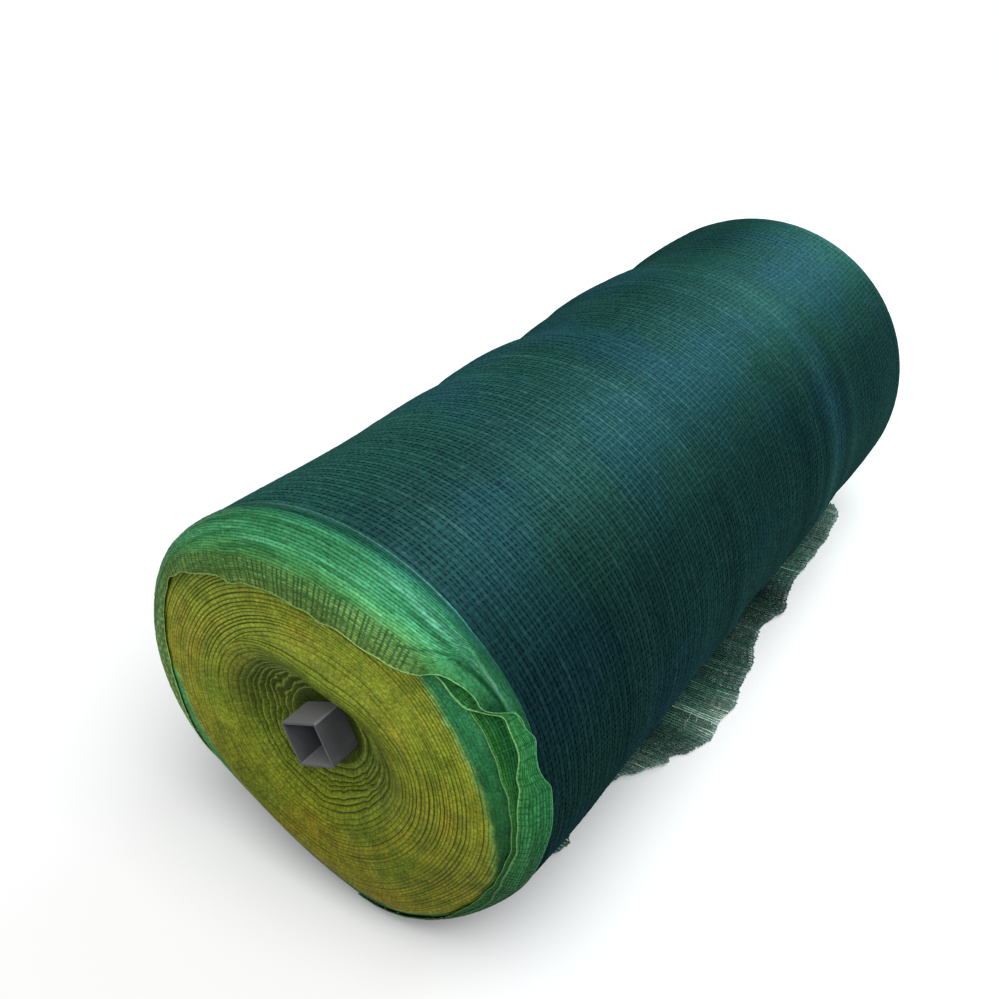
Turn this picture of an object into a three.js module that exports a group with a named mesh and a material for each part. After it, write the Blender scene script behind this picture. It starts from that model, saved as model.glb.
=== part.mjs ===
// A roll of olive harvesting net, wound on a square steel tube and lying on its side.
// The roll's axis runs along Y at the height AXIS_HEIGHT, and its near end faces -Y.
// The floor is z = 0, and the origin is the middle of the flat spot that the roll rests on.
// At the near end the outer turns' selvedges lie loose over the shoulder, and the net's
// cut end runs out on the floor beneath the +X side. All sizes are in millimetres.

import * as THREE from "three";

// Driving dimensions
const ROLL_RADIUS = 205; // plain radius of the wound body
const ROLL_HALF_LENGTH = 460; // from the middle to the near shoulder plane
const FAR_EXTRA = 8; // the far shoulder plane lies this much further from the middle
const FLAT_DEPTH = 6; // how far the roll's own weight flattens it underneath
const AXIS_HEIGHT = ROLL_RADIUS - FLAT_DEPTH;
const SAG = 2.5; // how far the sides swell low down
const SAG_ANGLE = -24; // degrees from +X, and the same on the far side
const SAG_SPREAD = 38; // degrees

const TUBE_SIDE = 43;
const TUBE_WALL = 2;
const TUBE_LENGTH = 1000;
const TUBE_NEAR = 490; // from the middle to the tube's near mouth
const TUBE_TURN = 24; // degrees about the roll's axis
const TUBE_SHIFT = -5; // along X, because the roll has settled to one side of its tube
const TUBE_CORNER = 2.5; // outer corner radius
const TUBE_CLEARANCE = 0.4; // between the tube and the innermost turn

const NET_THICKNESS = 1.6; // one ply of the knitted net
const PLY_GAP = 1; // a loose ply over the roll
const FLOOR_GAP = 0.7; // the loose end under the roll's side

const ROUND_STEPS = 64; // round the roll, with the tube's corners on the steps
const BODY_STEPS = 32; // along the body
const END_STEPS = 11; // from the tube to the shoulder
const STRIP_STEPS = 6; // across a loose selvedge
const STRIP_ANGLE_STEP = 5; // degrees, along a loose selvedge
const TAIL_LENGTH_STEP = 15; // along the loose end
const TAIL_STEPS = 6; // across the loose end

const NET_GREEN = 0x1c4a44;
const SELVEDGE_GREEN = 0x3f9a55;
const TAIL_GREEN = 0x4f6a60;
const TUBE_GREY = 0x4a4b4f;

// Swellings and waists of the wound body: place along the axis, height and half width.
const BODY_RINGS = [
  { along: -290, swell: -4, spread: 120 },
  { along: -65, swell: 2, spread: 45 },
  { along: 15, swell: -4.5, spread: 40 },
  { along: 155, swell: 4.5, spread: 60 },
  { along: 295, swell: -3, spread: 45 },
  { along: 400, swell: 1.5, spread: 40 },
];
const RING_LOW_SHARE = 0.35; // how much of a ring is left underneath, where the roll is pressed
// The near end is drawn in low on the +X side: angle, depth, spread, and reach along the body.
const NEAR_PINCH = { angle: 325, depth: 7, spread: 30, reach: 65 };

// End of the roll, from the tube out: distance from the axis, and reach past the shoulder plane.
const END_PROFILE = [
  { radius: 36, out: 4 },
  { radius: 47, out: 8 },
  { radius: 61, out: 15 },
  { radius: 74, out: 23 },
  { radius: 92, out: 27.5 },
  { radius: 122, out: 28.5 },
  { radius: 152, out: 27 },
  { radius: 176, out: 23 },
  { radius: 191, out: 15.5 },
  { radius: 200, out: 5 },
  { radius: ROLL_RADIUS, out: -18 },
];
const HOLLOW_RADIUS = 92; // inside this the turns have slipped back and the hollow is uneven
const HOLLOW_WAVES = [
  { lobes: 1, share: 0.1, angle: 205 },
  { lobes: 2, share: 0.09, angle: 160 },
  { lobes: 3, share: 0.05, angle: 20 },
];
const FACE_WAVES = [
  { lobes: 2, height: 1.6, angle: 100 },
  { lobes: 5, height: 0.8, angle: 12 },
];
const WAVE_FADE = 1 / 3; // share of the way over which these waves fade at their borders

// Where the near end's turns have slipped back low down: angle, depth at the shoulder and spread.
const END_DROPS = [
  { angle: 248, drop: 16, spread: 37 },
  { angle: 322, drop: 9, spread: 24 },
];
const DROP_FROM = 125; // radius where the slipped turns begin
const DROP_FULL = 190; // radius where they have slipped furthest

// Loose selvedges at the near end: angle round the axis; start and hem along the end's curve,
// measured from the body; and the lift off the turns below at the root, shoulder, turn and hem.
const LIP_ROWS = [
  { angle: 44, start: 16, hem: 45, root: 0.5, shoulder: 4, turn: 7, edge: 8 },
  { angle: 49, start: 12, hem: 58, root: 0, shoulder: 4, turn: 7, edge: 8 },
  { angle: 56, start: 10, hem: 72, root: 0, shoulder: 3, turn: 6, edge: 6 },
  { angle: 66, start: 9, hem: 84, root: 0, shoulder: 3, turn: 5, edge: 4 },
  { angle: 78, start: 9, hem: 88, root: 0, shoulder: 3, turn: 5, edge: 4 },
  { angle: 90, start: 9, hem: 84, root: 0, shoulder: 3, turn: 6, edge: 4 },
  { angle: 104, start: 9, hem: 78, root: 0, shoulder: 3, turn: 6, edge: 4 },
  { angle: 118, start: 9, hem: 71, root: 0, shoulder: 3, turn: 7, edge: 5 },
  { angle: 130, start: 9, hem: 58, root: 0, shoulder: 4, turn: 8, edge: 7 },
  { angle: 145, start: 9, hem: 44, root: 0, shoulder: 5, turn: 9, edge: 10 },
  { angle: 165, start: 9, hem: 40, root: 0, shoulder: 5, turn: 8, edge: 9 },
  { angle: 185, start: 9, hem: 37, root: 0, shoulder: 2.5, turn: 3, edge: 3.5 },
  { angle: 205, start: 9, hem: 34, root: 0, shoulder: 0.5, turn: 0.5, edge: 0.5 },
  { angle: 228, start: 9, hem: 28, root: 0, shoulder: 0, turn: 0, edge: 0.5 },
];
const FLAP_ROWS = [
  { angle: -52, start: 14, hem: 28, root: 0, shoulder: 0, turn: 0, edge: 0 },
  { angle: -36, start: 12, hem: 31, root: 0.5, shoulder: 0.5, turn: 0.5, edge: 0 },
  { angle: -18, start: 11, hem: 32, root: 2.5, shoulder: 2, turn: 1, edge: 0.5 },
  { angle: 5, start: 11, hem: 31, root: 6.5, shoulder: 5, turn: 2.5, edge: 0.5 },
  { angle: 20, start: 13, hem: 30, root: 7, shoulder: 5, turn: 3, edge: 1 },
  { angle: 30, start: 12, hem: 29, root: 4, shoulder: 4, turn: 3, edge: 1.5 },
  { angle: 41, start: 14, hem: 33, root: 2, shoulder: 4, turn: 5, edge: 4 },
];
const PLY_ROWS = [
  { angle: -52, start: 31, hem: 38, root: 0, shoulder: 0, turn: 0.5, edge: 0.5 },
  { angle: -25, start: 34, hem: 43, root: 0, shoulder: 0.5, turn: 1, edge: 1 },
  { angle: 0, start: 35, hem: 45, root: 0, shoulder: 0.5, turn: 1, edge: 1.5 },
  { angle: 22, start: 33, hem: 45, root: 0, shoulder: 0.5, turn: 1, edge: 1.5 },
  { angle: 41, start: 37, hem: 46, root: 0, shoulder: 0.5, turn: 1, edge: 1 },
];

// Outer edge of the loose end on the floor: place along the axis, and distance from it.
const TAIL_ROWS = [
  { along: -345, reach: 112 },
  { along: -310, reach: 146 },
  { along: -285, reach: 132 },
  { along: -250, reach: 134 },
  { along: -209, reach: 142 },
  { along: -196, reach: 148 },
  { along: -186, reach: 157 },
  { along: -174, reach: 165 },
  { along: -157, reach: 178 },
  { along: -143, reach: 175 },
  { along: -130, reach: 189 },
  { along: -116, reach: 193 },
  { along: -95, reach: 201 },
  { along: -62, reach: 198 },
  { along: -36, reach: 202 },
  { along: -9, reach: 197 },
  { along: 20, reach: 192 },
  { along: 50, reach: 190 },
  { along: 75, reach: 180 },
  { along: 100, reach: 175 },
  { along: 127, reach: 171 },
  { along: 150, reach: 178 },
  { along: 172, reach: 184 },
  { along: 191, reach: 178 },
  { along: 235, reach: 170 },
  { along: 300, reach: 172 },
  { along: 345, reach: 171 },
  { along: 403, reach: 168 },
  { along: 437, reach: 163 },
  { along: 465, reach: 148 },
];
const TAIL_ANGLE = -72; // degrees, where the loose end leaves the roll
// Ripples of the loose end, which grow from the roll to the cut edge.
const TAIL_RIPPLES = [
  { length: 46, height: 2.4, shift: 8 },
  { length: 118, height: 3.2, shift: 30 },
];

const radians = THREE.MathUtils.degToRad;
const smooth = (t) => THREE.MathUtils.smoothstep(t, 0, 1);

// The value of one column of a table at a place, eased between its rows.
function fromTable(rows, key, at, column) {
  const last = rows.length - 1;
  if (at <= rows[0][key]) return rows[0][column];
  if (at >= rows[last][key]) return rows[last][column];
  const i = rows.findIndex((row) => row[key] > at) - 1;
  const share = (at - rows[i][key]) / (rows[i + 1][key] - rows[i][key]);
  return THREE.MathUtils.lerp(rows[i][column], rows[i + 1][column], smooth(share));
}

// How strongly an angle lies in a lobe about another angle, from 0 to 1.
function lobe(angle, about, spread) {
  const apart = Math.atan2(Math.sin(angle - radians(about)), Math.cos(angle - radians(about)));
  return Math.exp(-((apart / radians(spread)) ** 2));
}

// How much the wound body stands proud of its plain radius.
function bodySwell(along, angle) {
  const ring = BODY_RINGS.reduce(
    (sum, r) => sum + r.swell * Math.exp(-(((along - r.along) / r.spread) ** 2)),
    0,
  );
  const upper = (1 + Math.sin(angle)) / 2;
  const share = THREE.MathUtils.lerp(RING_LOW_SHARE, 1, smooth(upper));
  const sag = lobe(angle, SAG_ANGLE, SAG_SPREAD) + lobe(angle, 180 - SAG_ANGLE, SAG_SPREAD);
  const fromNear = (along + ROLL_HALF_LENGTH) / NEAR_PINCH.reach;
  const pinch = lobe(angle, NEAR_PINCH.angle, NEAR_PINCH.spread) * Math.exp(-(fromNear ** 2));
  return ring * share + SAG * sag - NEAR_PINCH.depth * pinch;
}

// A point from its distance to the axis, its angle from +X and its place along Y, held above the floor.
function rollPoint(radius, angle, along) {
  const height = AXIS_HEIGHT + radius * Math.sin(angle);
  return new THREE.Vector3(radius * Math.cos(angle), along, Math.max(height, 0));
}

// Where the shoulder plane of one end lies along Y.
function shoulderPlane(side) {
  return side < 0 ? -ROLL_HALF_LENGTH : ROLL_HALF_LENGTH + FAR_EXTRA;
}

// The end's curve, from the tube out to the body, as (radius, out) points.
const endCurve = new THREE.SplineCurve(
  END_PROFILE.map((row) => new THREE.Vector2(row.radius, row.out)),
);
const endCurveLength = endCurve.getLength();

// A place on the end's curve, uneven round the roll, at a share of the way from tube to body.
function endPlace(share, angle, side) {
  const plain = endCurve.getPointAt(share);
  const fromTube = (plain.x - END_PROFILE[0].radius) / (HOLLOW_RADIUS - END_PROFILE[0].radius);
  const inHollow = smooth(fromTube / WAVE_FADE) * smooth((1 - fromTube) / WAVE_FADE + 1);
  const stretch = HOLLOW_WAVES.reduce(
    (sum, wave) => sum + wave.share * Math.cos(wave.lobes * (angle - radians(wave.angle))),
    1,
  );
  const onFace = smooth(share / WAVE_FADE) * smooth((1 - share) / WAVE_FADE);
  const wave = FACE_WAVES.reduce(
    (sum, w) => sum + w.height * Math.cos(w.lobes * (angle - radians(w.angle))),
    0,
  );
  const slipped = smooth((plain.x - DROP_FROM) / (DROP_FULL - DROP_FROM));
  const drop = END_DROPS.reduce((sum, d) => sum + d.drop * lobe(angle, d.angle, d.spread), 0);
  const radius = plain.x * THREE.MathUtils.lerp(1, stretch, inHollow);
  const out = plain.y + wave * onFace - (side < 0 ? drop * slipped : 0);
  return new THREE.Vector2(radius, out);
}

// How far the turns follow the tube to one side, which fades out across the hollow.
function tubeShift(radius) {
  const first = END_PROFILE[0].radius;
  return TUBE_SHIFT * (1 - smooth((radius - first) / (HOLLOW_RADIUS - first)));
}

// A point on the near or far end, lifted off it along the curve's own normal.
function endPoint(share, angle, side, lift = 0) {
  const place = endPlace(share, angle, side);
  const tangent = endCurve.getTangentAt(share);
  const radius = place.x - tangent.y * lift;
  const out = place.y + tangent.x * lift;
  const swell = bodySwell(shoulderPlane(side), angle) * smooth(share);
  const point = rollPoint(radius + swell, angle, shoulderPlane(side) + side * out);
  point.x += tubeShift(endCurve.getPointAt(share).x);
  return point;
}

// A mesh from a grid of points: quads between neighbours, as two triangles each.
function gridGeometry(points, faces) {
  const geometry = new THREE.BufferGeometry().setFromPoints(points);
  geometry.setIndex(faces.flatMap(([a, b, c, d]) => [a, b, c, a, c, d]));
  geometry.computeVertexNormals();
  return geometry;
}

// A closed ring from sections round an axis: both directions of the grid run into themselves.
function ringGeometry(sections) {
  const across = sections[0].length;
  const at = (i, j) => (i % sections.length) * across + (j % across);
  const faces = sections.flatMap((section, i) =>
    section.map((_, j) => [at(i, j), at(i, j + 1), at(i + 1, j + 1), at(i + 1, j)]),
  );
  return gridGeometry(sections.flat(), faces);
}

// A closed sheet from its upper and lower sides, grids of the same size, with a rim between them.
function sheetGeometry(upper, lower) {
  const rows = upper.length;
  const columns = upper[0].length;
  const top = (i, j) => i * columns + j;
  const low = (i, j) => rows * columns + top(i, j);
  const faces = [];
  for (let i = 0; i < rows - 1; i += 1) {
    for (let j = 0; j < columns - 1; j += 1) {
      faces.push([top(i, j), top(i + 1, j), top(i + 1, j + 1), top(i, j + 1)]);
      faces.push([low(i, j), low(i, j + 1), low(i + 1, j + 1), low(i + 1, j)]);
    }
    const end = columns - 1;
    faces.push([top(i, 0), low(i, 0), low(i + 1, 0), top(i + 1, 0)]);
    faces.push([top(i, end), top(i + 1, end), low(i + 1, end), low(i, end)]);
  }
  for (let j = 0; j < columns - 1; j += 1) {
    const end = rows - 1;
    faces.push([top(0, j), top(0, j + 1), low(0, j + 1), low(0, j)]);
    faces.push([top(end, j), low(end, j), low(end, j + 1), top(end, j + 1)]);
  }
  return gridGeometry([...upper.flat(), ...lower.flat()], faces);
}

function netMaterial(color) {
  return new THREE.MeshStandardMaterial({ color, roughness: 0.6, metalness: 0 });
}

function named(name, geometry, material) {
  const mesh = new THREE.Mesh(geometry, material);
  mesh.name = name;
  return mesh;
}

// The square tube that the net is wound on: a hollow section with rounded corners.
function coreTube() {
  const square = (path, half, corner) => {
    const flat = half - corner;
    path.absarc(flat, flat, corner, 0, Math.PI / 2);
    path.absarc(-flat, flat, corner, Math.PI / 2, Math.PI);
    path.absarc(-flat, -flat, corner, Math.PI, 1.5 * Math.PI);
    path.absarc(flat, -flat, corner, 1.5 * Math.PI, 2 * Math.PI);
    path.closePath();
    return path;
  };
  const section = square(new THREE.Shape(), TUBE_SIDE / 2, TUBE_CORNER);
  const insideCorner = Math.max(TUBE_CORNER - TUBE_WALL, TUBE_WALL / 4);
  section.holes.push(square(new THREE.Path(), TUBE_SIDE / 2 - TUBE_WALL, insideCorner));
  const geometry = new THREE.ExtrudeGeometry(section, {
    depth: TUBE_LENGTH,
    bevelEnabled: false,
    curveSegments: 3,
  });
  geometry.translate(0, 0, TUBE_NEAR - TUBE_LENGTH);
  geometry.rotateZ(radians(TUBE_TURN));
  geometry.rotateX(Math.PI / 2);
  geometry.translate(TUBE_SHIFT, 0, AXIS_HEIGHT);
  const material = new THREE.MeshStandardMaterial({ color: TUBE_GREY, roughness: 0.5, metalness: 0.3 });
  return named("core_tube", geometry, material);
}

// Distance from the tube's middle to the square hole that the tube fills, at an angle round it.
function holeRadius(angle) {
  const turned = angle - radians(TUBE_TURN);
  const half = TUBE_SIDE / 2 + TUBE_CLEARANCE;
  return half / Math.max(Math.abs(Math.cos(turned)), Math.abs(Math.sin(turned)));
}

// The wound net: one ring-shaped solid with uneven body, soft shoulders and a hollow at each end.
function netRoll() {
  const sections = [];
  for (let i = 0; i < ROUND_STEPS; i += 1) {
    const angle = radians(TUBE_TURN) + (2 * Math.PI * i) / ROUND_STEPS;
    const hole = (side) => {
      const point = rollPoint(holeRadius(angle), angle, shoulderPlane(side));
      return point.setX(point.x + TUBE_SHIFT);
    };
    const section = [hole(-1)];
    for (let j = 0; j <= END_STEPS; j += 1) section.push(endPoint(j / END_STEPS, angle, -1));
    const bodyFrom = shoulderPlane(-1) - END_PROFILE.at(-1).out;
    const bodyTo = shoulderPlane(1) + END_PROFILE.at(-1).out;
    for (let j = 1; j < BODY_STEPS; j += 1) {
      const along = THREE.MathUtils.lerp(bodyFrom, bodyTo, j / BODY_STEPS);
      section.push(rollPoint(ROLL_RADIUS + bodySwell(along, angle), angle, along));
    }
    for (let j = END_STEPS; j >= 0; j -= 1) section.push(endPoint(j / END_STEPS, angle, 1));
    section.push(hole(1));
    sections.push(section);
  }
  return named("net_roll", ringGeometry(sections), netMaterial(NET_GREEN));
}

// A loose selvedge over the near shoulder, from a table of its width and lifts round the roll.
function looseSelvedge(name, rows) {
  const first = rows[0].angle;
  const last = rows.at(-1).angle;
  const count = Math.round((last - first) / STRIP_ANGLE_STEP);
  const upper = [];
  const lower = [];
  for (let i = 0; i <= count; i += 1) {
    const degrees = THREE.MathUtils.lerp(first, last, i / count);
    const column = (name) => fromTable(rows, "angle", degrees, name);
    const lifts = new THREE.SplineCurve(
      ["root", "shoulder", "turn", "edge"].map((name, k) => new THREE.Vector2(k, column(name))),
    );
    const side = (offset) =>
      Array.from({ length: STRIP_STEPS + 1 }, (_, j) => {
        const across = j / STRIP_STEPS;
        const share = 1 - THREE.MathUtils.lerp(column("start"), column("hem"), across) / endCurveLength;
        const lift = PLY_GAP + lifts.getPoint(across).y + offset;
        return endPoint(share, radians(degrees), -1, lift);
      });
    upper.push(side(NET_THICKNESS));
    lower.push(side(0));
  }
  return named(name, sheetGeometry(upper, lower), netMaterial(SELVEDGE_GREEN));
}

// The net's cut end, flat on the floor from the wedge under the roll's side to its ragged edge.
function looseEnd() {
  const first = TAIL_ROWS[0].along;
  const last = TAIL_ROWS.at(-1).along;
  const count = Math.round((last - first) / TAIL_LENGTH_STEP);
  const wedge = AXIS_HEIGHT - NET_THICKNESS - FLOOR_GAP;
  const upper = [];
  const lower = [];
  for (let i = 0; i <= count; i += 1) {
    const along = THREE.MathUtils.lerp(last, first, i / count);
    const radius = ROLL_RADIUS + bodySwell(along, radians(TAIL_ANGLE));
    const root = Math.sqrt(radius ** 2 - wedge ** 2);
    const reach = fromTable(TAIL_ROWS, "along", along, "reach");
    const ripple = TAIL_RIPPLES.reduce(
      (sum, r) => sum + (r.height / 2) * (1 + Math.sin((2 * Math.PI * (along - r.shift)) / r.length)),
      0,
    );
    const side = (offset) =>
      Array.from({ length: TAIL_STEPS + 1 }, (_, j) => {
        const across = j / TAIL_STEPS;
        const x = THREE.MathUtils.lerp(root, reach, across);
        return new THREE.Vector3(x, along, ripple * smooth(across) + offset);
      });
    upper.push(side(NET_THICKNESS));
    lower.push(side(0));
  }
  return named("loose_end", sheetGeometry(upper, lower), netMaterial(TAIL_GREEN));
}

const roll = new THREE.Group();
roll.add(
  coreTube(),
  netRoll(),
  looseSelvedge("selvedge_lip", LIP_ROWS),
  looseSelvedge("selvedge_flap", FLAP_ROWS),
  looseSelvedge("selvedge_ply", PLY_ROWS),
  looseEnd(),
);

export default roll;
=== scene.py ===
# A roll of olive harvesting net on its square steel tube, lying on the floor with its near end to
# the front. Shapes are worked out in millimetres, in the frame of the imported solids.
import math

import bpy
import numpy as np
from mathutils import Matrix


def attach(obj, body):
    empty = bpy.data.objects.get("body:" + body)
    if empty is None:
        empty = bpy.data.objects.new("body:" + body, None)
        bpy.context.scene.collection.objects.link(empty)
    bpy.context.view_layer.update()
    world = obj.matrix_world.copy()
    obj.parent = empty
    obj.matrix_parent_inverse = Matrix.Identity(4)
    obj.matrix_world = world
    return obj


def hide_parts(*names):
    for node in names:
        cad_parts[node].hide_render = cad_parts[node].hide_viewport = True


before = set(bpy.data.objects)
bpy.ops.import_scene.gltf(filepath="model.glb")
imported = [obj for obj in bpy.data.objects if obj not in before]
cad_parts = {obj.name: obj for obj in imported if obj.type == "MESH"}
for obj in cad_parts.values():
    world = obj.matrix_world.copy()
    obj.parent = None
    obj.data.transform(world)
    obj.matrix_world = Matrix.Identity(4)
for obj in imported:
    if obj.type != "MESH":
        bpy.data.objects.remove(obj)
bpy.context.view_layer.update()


# Core tube: a square steel tube, 43 mm across with 2 mm walls, sawn square and painted dark grey.
# The net is wound straight onto it, and both ends stand a little out of the roll.
def put(finish, kind, inputs=None, **settings):
    """Adds a node to a finish. An input that is a socket is linked, and any other is set."""
    tree = finish.node_tree
    node = tree.nodes.new("ShaderNode" + kind)
    for name, value in settings.items():
        setattr(node, name, value)
    for name, value in (inputs or {}).items():
        if isinstance(value, bpy.types.NodeSocket):
            tree.links.new(value, node.inputs[name])
        else:
            node.inputs[name].default_value = value
    return node


def shade(red, green, blue):
    """A colour as it shows on screen, from 0 to 255, for a shader."""
    shown = np.array([red, green, blue]) / 255
    linear = np.where(shown <= 0.04045, shown / 12.92, ((shown + 0.055) / 1.055) ** 2.4)
    return (*linear.tolist(), 1.0)


def ramp(finish, value, stops, how="EASE"):
    """Colours along a value, eased between their stops. One number for a colour is a grey."""
    node = put(finish, "ValToRGB", {"Fac": value})
    node.color_ramp.interpolation = how
    points = node.color_ramp.elements
    while len(points) < len(stops):
        points.new(0.5)
    for point, (place, colour) in zip(points, stops):
        point.position = place
        point.color = (*np.broadcast_to(colour, 3).tolist(), 1.0)
    return node.outputs["Color"]


def tint(finish, value, *stops):
    """Colours along a value, each stop a place and a colour as it shows on screen."""
    return ramp(finish, value, [(place, shade(*colour)[:3]) for place, *colour in stops])


def mixed(finish, share, first, second, how="MIX"):
    """One colour laid over another by a share."""
    mix = put(finish, "Mix", {0: share, 6: first, 7: second}, data_type="RGBA", blend_type=how)
    return mix.outputs[2]


def times(finish, first, second, share=1.0):
    """One colour multiplied by another, by a share."""
    return mixed(finish, share, first, second, "MULTIPLY")


def sums(finish, how, first, second=0.0):
    return put(finish, "Math", {0: first, 1: second}, operation=how).outputs["Value"]


def noise(finish, where, scale, detail=2.0):
    return put(finish, "TexNoise", {"Vector": where, "Scale": scale, "Detail": detail}).outputs["Fac"]


def object_place(finish):
    return put(finish, "TexCoord").outputs["Object"]


def parts(finish, vector):
    """The X, Y and Z of a vector."""
    return put(finish, "SeparateXYZ", {"Vector": vector}).outputs


def coat(finish, **sockets):
    """Sets or links the finish's own shader."""
    shader = finish.node_tree.nodes["Principled BSDF"]
    for name, value in sockets.items():
        socket = shader.inputs[name.replace("_", " ")]
        if isinstance(value, bpy.types.NodeSocket):
            finish.node_tree.links.new(value, socket)
        else:
            socket.default_value = value


def new_finish(name):
    finish = bpy.data.materials.new(name)
    finish.use_nodes = True
    return finish


def tube_paint():
    """Dark grey paint, scuffed along the tube, with painted light on its top faces and painted shade on its
    sawn ends.
    """
    finish = new_finish("tube_paint")
    place = object_place(finish)
    dust = noise(finish, place, 60.0, 5.0)
    run = put(finish, "Mapping", {"Vector": place, "Scale": (90.0, 6.0, 90.0)})
    scuff = noise(finish, run.outputs["Vector"], 6.0, 4.0)
    grey = tint(finish, dust, (0.3, 57, 58, 61), (0.7, 70, 71, 74))
    grey = mixed(finish, ramp(finish, scuff, [(0.62, 0), (0.74, 0.15)]), grey, shade(110, 110, 111))
    _, faces_y, faces_z = parts(finish, put(finish, "NewGeometry").outputs["Normal"])
    # Painted light: the faces that look up are lighter.
    grey = mixed(finish, ramp(finish, faces_z, [(0.6, 0), (0.85, 0.8)]), grey, shade(126, 126, 127))
    # Painted shade: the sawn ends are darker.
    sawn = ramp(finish, sums(finish, "ABSOLUTE", faces_y), [(0.7, 0), (0.95, 0.8)])
    grey = mixed(finish, sawn, grey, shade(48, 49, 51))
    rough = ramp(finish, scuff, [(0.3, 0.42), (0.7, 0.6)])
    grain = put(finish, "Bump", {"Height": dust, "Strength": 0.12, "Distance": 0.001})
    coat(finish, Base_Color=grey, Roughness=rough, Metallic=0.0, Normal=grain.outputs["Normal"])
    return finish


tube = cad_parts["core_tube"]
tube_join = tube.modifiers.new("joined_edges", "WELD")
tube_join.merge_threshold = 0.00002
tube_edge = tube.modifiers.new("filed_edges", "BEVEL")
tube_edge.width = 0.0003
tube_edge.segments = 2
tube_edge.limit_method = "ANGLE"
tube_edge.angle_limit = math.radians(55)
tube.data.materials.clear()
tube.data.materials.append(tube_paint())


# Turns below: the plies under the outer one, which close the gaps of the net, painted a darker green as shade
# in the gaps.
# They are wound tight, so the body swells and draws in along its length and sags low down.
MM = 0.001
ROLL_RADIUS = 205.0
AXIS_HEIGHT = 199.0
NEAR_PLANE, FAR_PLANE = -460.0, 468.0
SHOULDER = 18  # how far an end's curve reaches back along the body
BODY_FROM, BODY_TO = NEAR_PLANE + SHOULDER, FAR_PLANE - SHOULDER
BODY_RINGS = [
    (-290, -5, 120), (-135, -3, 36), (-65, 0, 40), (15, -8, 45), (100, -2, 40), (155, 3, 50),
    (295, -4.5, 45), (400, 1, 40),
]
RING_LOW_SHARE = 0.35  # how much of a ring is left underneath
SAG, SAGS = 2.5, [(-24, 38), (204, 38)]
PINCH, PINCH_REACH, PINCHES = 7, 65, [(325, 30), (236, 25)]
CREASE_RINGS = [(-98, 0.6, 6), (141, 0.8, 7), (221, 0.5, 6), (352, 0.5, 8), (-236, 0.4, 7)]
# Painted light and shade in rings round the flank: where along it, how much low down, how much on top, and
# how wide.
PAINTED_RINGS = [
    (-325, -0.13, 0, 16), (-303, 0, -0.1, 13), (-280, 0.08, 0.08, 16), (-240, -0.1, 0, 14),
    (-150, 0.1, 0.06, 25), (-112, 0, 0.11, 15), (-97, -0.18, 0, 12), (-74, 0.13, -0.07, 12),
    (110, -0.25, -0.06, 20), (141, 0.06, 0.08, 9), (162, -0.2, 0.05, 8), (200, 0.42, 0.17, 18),
    (250, -0.2, -0.07, 16), (280, 0.18, 0, 13), (350, -0.1, -0.04, 22),
]
END_PROFILE = np.array([
    (36, 4), (47, 8), (61, 15), (74, 23), (92, 27.5), (122, 28.5), (152, 27), (176, 23), (191, 15.5),
    (200, 5), (ROLL_RADIUS, -SHOULDER),
], float)
HOLLOW_FROM, HOLLOW_TO = 36, 92  # radius
HOLLOW_WAVES = [(1, 0.1, 205), (2, 0.09, 160), (3, 0.05, 20)]
FACE_WAVES = [(2, 1.6, 100), (5, 0.8, 12)]
TUBE_SHIFT = -5.0
DROP_FROM, DROP_TO = 125, 190  # radius
END_DROPS = [(226, 3, 22), (248, 16, 37), (322, 9, 24)]
WEFT_PITCH = 5.8
BELOW_DEPTH = 1.3
BELOW_ROWS, BELOW_STEPS = 150, 192


def eased(share):
    share = np.clip(share, 0, 1)
    return share * share * (3 - 2 * share)


def hump(apart, width):
    return np.exp(-((apart / width) ** 2))


def lobe(angle, about, spread):
    """How strongly an angle lies in a lobe about another one, from 0 to 1."""
    return hump(np.angle(np.exp(1j * (angle - math.radians(about)))), math.radians(spread))


def body_swell(along, angle):
    """How much the wound body stands proud of its plain radius."""
    ring = sum(h * hump(along - y, w) for y, h, w in BODY_RINGS)
    ring = ring * (RING_LOW_SHARE + (1 - RING_LOW_SHARE) * eased((1 + np.sin(angle)) / 2))
    sag = SAG * sum(lobe(angle, *place) for place in SAGS)
    pinch = PINCH * sum(lobe(angle, *place) for place in PINCHES)
    return ring + sag - pinch * hump(along - NEAR_PLANE, PINCH_REACH)


def crease(along, angle):
    """Low ridges where the net was drawn tight round the body."""
    ridges = sum(h * hump(along - y - 5 * np.sin(angle + y), w) for y, h, w in CREASE_RINGS)
    return ridges * eased((np.sin(angle) + 0.9) / 0.8)


def pulled(along, angle):
    """Painted light and shade in rings along the flank: how much lighter or darker, most of all low down."""
    lower = eased((0.8 - np.sin(angle)) / 0.4)
    return np.exp(sum(
        (top + (low - top) * lower) * hump(along - y - 4 * np.sin(2 * angle + y), w)
        for y, low, top, w in PAINTED_RINGS
    ))


def bend(t, first, last, leave, arrive):
    """A share of the way from one value to the next, with the slopes at both."""
    square, cube = 3 * (last - first) - 2 * leave - arrive, 2 * (first - last) + leave + arrive
    return first + leave * t + square * t**2 + cube * t**3


def smooth_line(points, share):
    """Places on a smooth line through points, at shares of the way along them."""
    at = share * (len(points) - 1)
    i = np.minimum(at.astype(int), len(points) - 2)
    before, first, last, after = (points[np.clip(i + k, 0, len(points) - 1)] for k in (-1, 0, 1, 2))
    return bend((at - i)[:, None], first, last, (last - before) / 2, (after - first) / 2)


end_line = smooth_line(END_PROFILE, np.linspace(0, 1, 4001))
end_steps = np.r_[0, np.cumsum(np.hypot(*np.diff(end_line, axis=0).T))]
END_LENGTH = end_steps[-1]
end_slope = np.gradient(end_line, end_steps, axis=0)


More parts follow.
